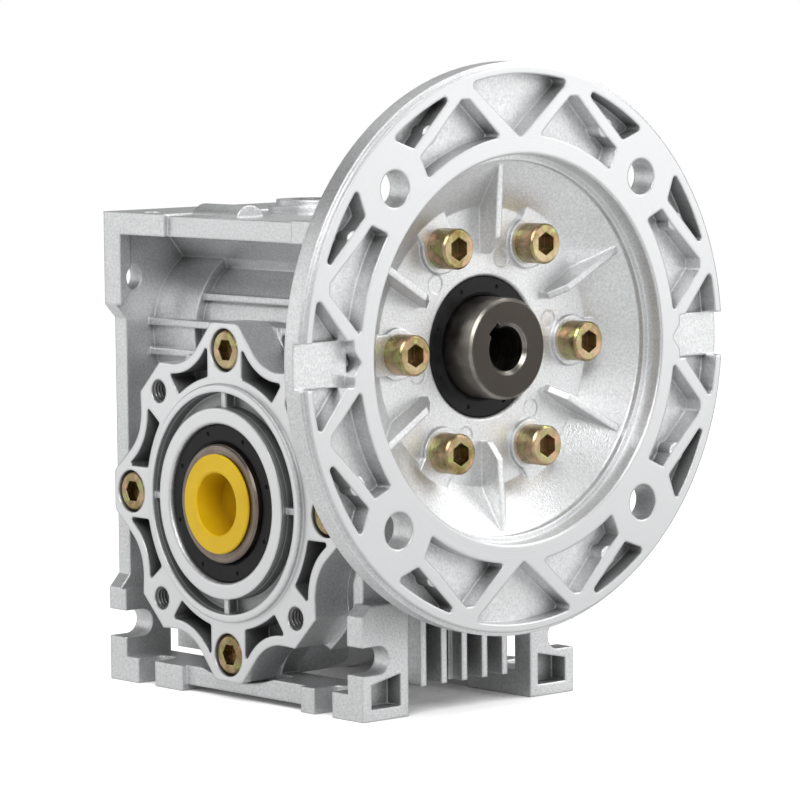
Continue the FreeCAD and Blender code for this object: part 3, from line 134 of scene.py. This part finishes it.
def make_floor():
    """Pale and evenly bright, with a painted shadow only where the object covers it."""
    low = cad_box[0][2]
    bpy.ops.mesh.primitive_plane_add(size=16.0, location=(0.0, 0.0, low))
    floor = bpy.context.object
    floor.name = "floor"
    paint = Surface("floor_paint")
    paint.set("Base Color", FLOOR_GREY)
    paint.set("Roughness", 0.9)
    paint.set("Emission Color", WHITE)
    seen = paint.node("ShaderNodeLightPath").outputs["Is Camera Ray"]
    # Painted shadow: the floor's glow drops where the object covers it.
    painted_shadow_under_object = paint.recess(CONTACT_REACH, 0.06, 0.42, only_local=False)
    glow = paint.mix_number(painted_shadow_under_object, FLOOR_GLOW, FLOOR_GLOW_UNDER_OBJECT)
    share = paint.spread(seen, 0.0, 1.0, FLOOR_SHARE_AS_LIGHT, 1.0)
    paint.set("Emission Strength", paint.math("MULTIPLY", glow, share))
    floor.data.materials.append(paint.material)


def make_studio():
    make_floor()
    make_world()
    for name, place, size, watts in SOFTBOXES:
        softbox(name, place, size, watts)
    bpy.context.scene.view_settings.view_transform = "Standard"


# ---------------------------------------------------------------- surfaces

class Surface:
    """A node material and short ways to add to it."""

    def __init__(self, name):
        self.material = bpy.data.materials.new(name)
        self.material.use_nodes = True
        self.tree = self.material.node_tree
        self.shader = self.tree.nodes["Principled BSDF"]

    def set(self, socket, value):
        self.join(value, self.shader.inputs[socket])

    def join(self, value, socket):
        if isinstance(value, bpy.types.NodeSocket):
            self.tree.links.new(value, socket)
        elif value is not None:
            socket.default_value = value

    def node(self, kind, **settings):
        node = self.tree.nodes.new(kind)
        for name, value in settings.items():
            setattr(node, name, value)
        return node

    def place(self):
        return self.node("ShaderNodeTexCoord").outputs["Object"]

    def math(self, operation, first, second=None, third=None):
        node = self.node("ShaderNodeMath", operation=operation)
        for value, socket in zip((first, second, third), node.inputs):
            self.join(value, socket)
        return node.outputs[0]

    def split(self, vector):
        node = self.node("ShaderNodeSeparateXYZ")
        self.join(vector, node.inputs[0])
        return node.outputs

    def combine(self, x, y, z):
        node = self.node("ShaderNodeCombineXYZ")
        for value, socket in zip((x, y, z), node.inputs):
            self.join(value, socket)
        return node.outputs[0]

    def recess(self, distance, low, high, only_local=True):
        """0 on open ground and 1 deep in a pocket or a hole, of the same piece or between pieces."""
        node = self.node("ShaderNodeAmbientOcclusion", samples=8, only_local=only_local)
        node.inputs["Distance"].default_value = distance
        return self.spread(node.outputs["AO"], low, high, 1.0, 0.0)

    def shifted(self, vector, offset):
        node = self.node("ShaderNodeMapping")
        self.join(vector, node.inputs["Vector"])
        node.inputs["Location"].default_value = offset
        return node.outputs[0]

    def noise(self, vector, scale, detail=3.0, roughness=0.55):
        node = self.node("ShaderNodeTexNoise")
        self.join(vector, node.inputs["Vector"])
        node.inputs["Scale"].default_value = scale
        node.inputs["Detail"].default_value = detail
        node.inputs["Roughness"].default_value = roughness
        return node.outputs["Fac"]

    def spots(self, vector, scale):
        node = self.node("ShaderNodeTexVoronoi")
        self.join(vector, node.inputs["Vector"])
        node.inputs["Scale"].default_value = scale
        return node.outputs["Distance"]

    def spread(self, value, low, high, out_low=0.0, out_high=1.0):
        node = self.node("ShaderNodeMapRange")
        for socket, given in zip(node.inputs, (value, low, high, out_low, out_high)):
            self.join(given, socket)
        return node.outputs[0]

    def mix(self, share, first, second):
        node = self.node("ShaderNodeMix", data_type="RGBA")
        self.join(share, node.inputs["Factor"])
        self.join(first, node.inputs[6])
        self.join(second, node.inputs[7])
        return node.outputs[2]

    def mix_number(self, share, first, second):
        node = self.node("ShaderNodeMix", data_type="FLOAT")
        self.join(share, node.inputs["Factor"])
        self.join(first, node.inputs[2])
        self.join(second, node.inputs[3])
        return node.outputs[0]

    def bump(self, height, strength, distance, normal=None):
        node = self.node("ShaderNodeBump")
        node.inputs["Strength"].default_value = strength
        node.inputs["Distance"].default_value = distance
        self.join(height, node.inputs["Height"])
        self.join(normal, node.inputs["Normal"])
        return node.outputs[0]

    def rounded(self, radius):
        node = self.node("ShaderNodeBevel", samples=6)
        node.inputs["Radius"].default_value = radius
        return node.outputs[0]

    def edges(self, rounded, low, high):
        """0 on flat ground and 1 along edges, from how far the rounded normal turns away."""
        flat = self.node("ShaderNodeNewGeometry").outputs["Normal"]
        dot = self.node("ShaderNodeVectorMath", operation="DOT_PRODUCT")
        self.join(flat, dot.inputs[0])
        self.join(rounded, dot.inputs[1])
        return self.spread(dot.outputs["Value"], low, high, 1.0, 0.0)

    def near(self, value, level, width):
        """1 within width of the level."""
        away = self.math("ABSOLUTE", self.math("SUBTRACT", value, level))
        return self.math("LESS_THAN", away, width)

    def any(self, masks):
        total = masks[0]
        for mask in masks[1:]:
            total = self.math("MAXIMUM", total, mask)
        return total


def lifted(colour, lift):
    """The colour with every channel raised by lift."""
    return tuple(part + lift for part in colour[:3]) + (1.0,)


def radius_about(surface, across, up):
    """Distance from the axis that across and up are measured from."""
    squares = surface.math("ADD", surface.math("MULTIPLY", across, across), surface.math("MULTIPLY", up, up))
    return surface.math("SQRT", squares)


def cast_alloy(name, planes, rings_about, open_ground, cast_lift=0.0, cut_lift=0.0):
    """Blasted die-cast aluminium with cut faces.
    planes: (axis, level) of each machined face, in metres.
    rings_about: "X" or "Y", the axis the face was turned about, or None for milled faces.
    open_ground: how much open sky a spot needs to be free of the painted shade in hollows.
    cast_lift, cut_lift: how much lighter than usual the raw and the cut surfaces are, as painted light that
    makes lit and shaded copies of the one alloy."""
    s = Surface(name)
    here = s.place()
    x, y, z = s.split(here)
    axes = {"X": x, "Y": y, "Z": z}
    cut = s.any([s.near(axes[axis], level, CUT_DEPTH) for axis, level in planes])
    rounded = s.rounded(0.0008)
    edge_highlight = s.edges(rounded, 0.80, 0.985)
    hollow_painted_shade = s.recess(0.011, 0.10, open_ground)
    cloud = s.noise(here, 45.0, 4.0)
    stain = s.noise(here, 16.0, 5.0, 0.65)
    grain = s.noise(here, 1500.0, 3.0, 0.7)
    sparkle = s.spots(here, 2600.0)
    tone = s.math("ADD", s.spread(cloud, 0.3, 0.7, -0.05, 0.05), s.spread(grain, 0.35, 0.65, -0.08, 0.08))
    cast = s.mix(s.spread(tone, -0.13, 0.13), lifted(CAST_DARK, cast_lift), lifted(CAST_LIGHT, cast_lift))
    cast = s.mix(s.spread(stain, 0.55, 0.75, 0.0, 0.22), cast, CAST_STAIN)
    # Painted shade: pockets and holes darkened towards near black.
    cast = s.mix(s.math("MULTIPLY", hollow_painted_shade, 0.82), cast, CAST_PAINTED_SHADE)
    # Painted highlight: edges lightened where the rounded normal turns away.
    cast = s.mix(s.math("MULTIPLY", edge_highlight, 0.5), cast, CAST_EDGE_HIGHLIGHT)
    if rings_about == "X":
        radius = radius_about(s, y, s.math("SUBTRACT", z, WORM_HEIGHT))
    elif rings_about == "Y":
        radius = radius_about(s, x, z)
    else:
        radius = s.math("ADD", x, s.math("MULTIPLY", y, 0.3))
    turning = s.noise(s.combine(radius, 0.0, 0.0), 5200.0, 2.0)
    machined = s.mix(s.spread(turning, 0.3, 0.7), lifted(CUT_DARK, cut_lift), lifted(CUT_LIGHT, cut_lift))
    machined = s.mix(s.spread(stain, 0.56, 0.72, 0.0, 0.18), machined, CUT_STAIN)
    s.set("Base Color", s.mix(cut, cast, machined))
    s.set("Metallic", 0.9)
    speckle = s.spread(sparkle, 0.0, 0.6, 0.30, 0.46)
    rough_open = s.math("ADD", speckle, s.spread(cloud, 0.3, 0.7, -0.04, 0.04))
    rough_cast = s.mix_number(hollow_painted_shade, rough_open, 0.62)
    rough_cut = s.spread(turning, 0.3, 0.7, 0.34, 0.47)
    s.set("Roughness", s.mix_number(cut, rough_cast, rough_cut))
    height = s.mix_number(cut, s.math("ADD", grain, s.math("MULTIPLY", sparkle, 0.6)),
                          s.math("MULTIPLY", turning, 0.25))
    s.set("Normal", s.bump(height, 0.6, 0.00012, rounded))
    return s.material


def zinc_yellow():
    """Yellow chromated zinc: gold with olive and rose drifting over it, with painted shade in the sockets.
    """
    s = Surface("zinc_yellow")
    here = s.place()
    drift = s.noise(here, 170.0, 3.0, 0.6)
    second = s.noise(s.shifted(here, (0.3, 0.1, 0.7)), 330.0, 2.0)
    gold = s.mix(s.spread(drift, 0.35, 0.65), (0.21, 0.15, 0.058, 1.0), (0.46, 0.375, 0.225, 1.0))
    rose = s.mix(s.spread(second, 0.52, 0.70, 0.0, 0.6), gold, (0.72, 0.40, 0.28, 1.0))
    green = s.mix(s.spread(second, 0.30, 0.46, 0.6, 0.0), rose, (0.40, 0.48, 0.16, 1.0))
    # Painted shade: the sockets darkened towards near black.
    socket_painted_shade = s.recess(0.004, 0.15, 0.72)
    s.set("Base Color", s.mix(s.math("MULTIPLY", socket_painted_shade, 0.72), green, (0.045, 0.032, 0.012, 1.0)))
    s.set("Metallic", 1.0)
    s.set("Roughness", s.spread(second, 0.3, 0.7, 0.22, 0.38))
    s.set("Normal", s.bump(s.noise(here, 2200.0, 2.0), 0.2, 0.00006, s.rounded(0.00035)))
    return s.material


def rubber(name, colour, rough):
    """Matt black or dark sheet, dusted a little lighter."""
    s = Surface(name)
    here = s.place()
    dust = s.noise(here, 260.0, 4.0, 0.65)
    s.set("Base Color", s.mix(s.spread(dust, 0.4, 0.8, 0.0, 0.35), colour, (0.035, 0.035, 0.035, 1.0)))
    s.set("Specular IOR Level", 0.2)
    s.set("Roughness", s.spread(dust, 0.3, 0.7, rough, rough + 0.16))
    s.set("Normal", s.bump(s.noise(here, 1800.0, 2.0), 0.25, 0.00006, s.rounded(0.0003)))
    return s.material


def turned_steel(name, dark, light, rough, about, end_face=None):
    """Ground or turned steel with fine marks round its axis and a film of oil.
    end_face is how far along the axis a darker end face lies."""
    s = Surface(name)
    here = s.place()
    x, y, z = s.split(here)
    if about == "X":
        along, radius = x, radius_about(s, y, s.math("SUBTRACT", z, WORM_HEIGHT))
    else:
        along, radius = y, radius_about(s, x, z)
    marks = s.noise(s.combine(along, radius, 0.0), 3200.0, 3.0, 0.6)
    cloud = s.noise(here, 120.0, 4.0)
    rounded = s.rounded(0.0003)
    edge_highlight = s.edges(rounded, 0.80, 0.985)
    tone = s.math("ADD", s.spread(marks, 0.3, 0.7, -0.25, 0.25), s.spread(cloud, 0.3, 0.7, 0.2, 0.8))
    base = s.mix(s.spread(tone, 0.0, 1.0), dark, light)
    if end_face is not None:
        base = s.mix(s.near(along, end_face, CUT_DEPTH), base, dark)
    # Painted highlight: edges lightened where the rounded normal turns away.
    s.set("Base Color", s.mix(s.math("MULTIPLY", edge_highlight, 0.6), base, (0.70, 0.69, 0.67, 1.0)))
    s.set("Metallic", 1.0)
    s.set("Roughness", s.math("ADD", s.spread(cloud, 0.3, 0.7, -0.05, 0.07), rough))
    s.set("Normal", s.bump(marks, 0.12, 0.00005, rounded))
    return s.material


def yellow_plastic():
    """Soft moulded plastic, with painted shade inside its cup."""
    s = Surface("yellow_plastic")
    here = s.place()
    cloud = s.noise(here, 90.0, 3.0)
    yellow = s.mix(s.spread(cloud, 0.3, 0.7), (0.72, 0.45, 0.005, 1.0), (0.80, 0.53, 0.010, 1.0))
    # Painted shade: the inside of the cup darkened to a deep yellow.
    s.set("Base Color", s.mix(s.recess(0.012, 0.1, 0.75), yellow, (0.36, 0.20, 0.002, 1.0)))
    s.set("Roughness", s.spread(s.noise(here, 700.0, 3.0), 0.3, 0.7, 0.30, 0.42))
    s.set("Specular IOR Level", 0.3)
    s.set("Subsurface Weight", 0.06)
    s.set("Subsurface Radius", (0.004, 0.002, 0.0006))
    s.set("Normal", s.bump(s.noise(here, 1100.0, 2.0), 0.12, 0.00008, s.rounded(0.0003)))
    return s.material


def plain_metal(name, colour, rough):
    """Metal of one colour with a fine grain that darkens it in places."""
    s = Surface(name)
    here = s.place()
    grain = s.noise(here, 600.0, 4.0, 0.6)
    darker = tuple(0.72 * part for part in colour[:3]) + (1.0,)
    s.set("Base Color", s.mix(s.spread(grain, 0.3, 0.7), darker, colour))
    s.set("Metallic", 1.0)
    s.set("Roughness", s.spread(grain, 0.3, 0.7, rough, rough + 0.12))
    s.set("Normal", s.bump(grain, 0.12, 0.00005, s.rounded(0.0003)))
    return s.material


# ---------------------------------------------------------------- threads

def thread(name, x, z, mouth, inward, materials):
    """The ridge of an M6 thread in a tapped hole along Y, as one closed helical strip.
    mouth is where it starts along Y and inward the way it goes, 1 or -1.
    materials are those of the flanks, in painted shade, and of the crest, in painted highlight."""
    pitch, turns, steps = 1.0 * MM, 8, 24
    root, top, root_half, top_half = 2.98, 2.48, 0.46, 0.13
    section = ((root, -root_half), (top, -top_half), (top, top_half), (root, root_half))
    crest_side = 1
    flank_slot, crest_slot = 0, 1
    mesh = bmesh.new()
    rings = []
    for step in range(turns * steps + 1):
        angle = 2 * math.pi * step / steps
        along = mouth + inward * pitch * (0.5 + step / steps)
        ring = []
        for radius, offset in section:
            ring.append(mesh.verts.new((x + radius * MM * math.cos(angle), along + offset * MM,
                                        z + radius * MM * math.sin(angle))))
        rings.append(ring)
    for first, second in zip(rings, rings[1:]):
        for index in range(len(section)):
            after = (index + 1) % len(section)
            face = mesh.faces.new((first[index], first[after], second[after], second[index]))
            face.material_index = crest_slot if index == crest_side else flank_slot
    mesh.faces.new(rings[0])
    mesh.faces.new(rings[-1][::-1])
    bmesh.ops.recalc_face_normals(mesh, faces=mesh.faces)
    data = bpy.data.meshes.new(name)
    mesh.to_mesh(data)
    mesh.free()
    for material in materials:
        data.materials.append(material)
    piece = bpy.data.objects.new(name, data)
    bpy.context.scene.collection.objects.link(piece)
    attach(piece, "housing")


def tapped_holes(materials):
    """Threads in the four mounting holes of each output face."""
    reach = TAPPED_CIRCLE * math.sqrt(0.5)
    for side, end in ((-1, "near"), (1, "far")):
        for index, (right, up) in enumerate(((1, 1), (1, -1), (-1, 1), (-1, -1))):
            thread(f"{end}_thread_{index}", right * reach, up * reach, side * LOBE_FACE, -side, materials)


def coat(node, material):
    """Gives every slot of a CAD node the material."""
    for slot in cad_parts[node].material_slots:
        slot.material = material


make_camera()
make_studio()

housing_metal = cast_alloy("housing_metal", [
    ("Y", LOBE_FACE), ("Y", REGISTER_FACE), ("Y", HUB_FACE), ("Z", TOP_FACE),
    ("Z", FOOT_FACE), ("X", FLANGE_SEAT), ("X", BACK_FACE),
], None, 0.56)
# Painted light: the cover's cut faces are lighter, and the flange's raw faces lighter and its cut face
# darker, than the housing's alloy.
cover_metal = cast_alloy("cover_metal", [("Y", -LOBE_FACE), ("Y", -REGISTER_FACE), ("Y", -HUB_FACE)],
                         "Y", 0.72, cut_lift=0.06)
flange_metal = cast_alloy("flange_metal", [("X", FLANGE_FACE)], "X", 0.46, cast_lift=0.04, cut_lift=-0.05)
coat("housing", housing_metal)
coat("side_cover", cover_metal)
coat("input_flange", flange_metal)

# Painted light: dark flanks as shade and near white crests as highlight, on one thread metal.
tapped_holes((plain_metal("thread_flank_painted_shade", (0.24, 0.24, 0.24, 1.0), 0.36),
              plain_metal("thread_crest_painted_highlight", (0.92, 0.92, 0.92, 1.0), 0.28)))

screw_metal = zinc_yellow()
for node in ("side_cover_screws", "input_flange_screws"):
    coat(node, screw_metal)
seal_rubber = rubber("seal_rubber", (0.006, 0.006, 0.007, 1.0), 0.34)
for node in ("input_oil_seal", "output_seal_near", "output_seal_far", "rear_end_cap", "side_cover_o_ring"):
    coat(node, seal_rubber)
coat("flange_gasket", rubber("gasket_fibre", (0.07, 0.065, 0.055, 1.0), 0.7))
coat("worm_shaft", turned_steel("worm_steel", (0.055, 0.048, 0.041, 1.0), (0.50, 0.47, 0.43, 1.0), 0.33,
                                "X", INPUT_END))
coat("output_hub", turned_steel("hub_iron", (0.13, 0.10, 0.08, 1.0), (0.34, 0.29, 0.25, 1.0), 0.35, "Y"))
coat("bore_plug", yellow_plastic())
coat("oil_plug", plain_metal("plug_steel", (0.42, 0.42, 0.43, 1.0), 0.35))
black_spring = plain_metal("black_spring", (0.05, 0.05, 0.055, 1.0), 0.35)
for node in ("housing_circlip", "worm_shaft_circlip"):
    coat(node, black_spring)
race_steel = plain_metal("race_steel", (0.60, 0.61, 0.62, 1.0), 0.12)
cage_steel = plain_metal("cage_steel", (0.48, 0.46, 0.44, 1.0), 0.30)
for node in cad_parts:
    if "_bearing_" in node:
        coat(node, cage_steel if node.endswith("_cage") else race_steel)
coat("worm_wheel_rim", plain_metal("wheel_bronze", (0.62, 0.42, 0.18, 1.0), 0.28))
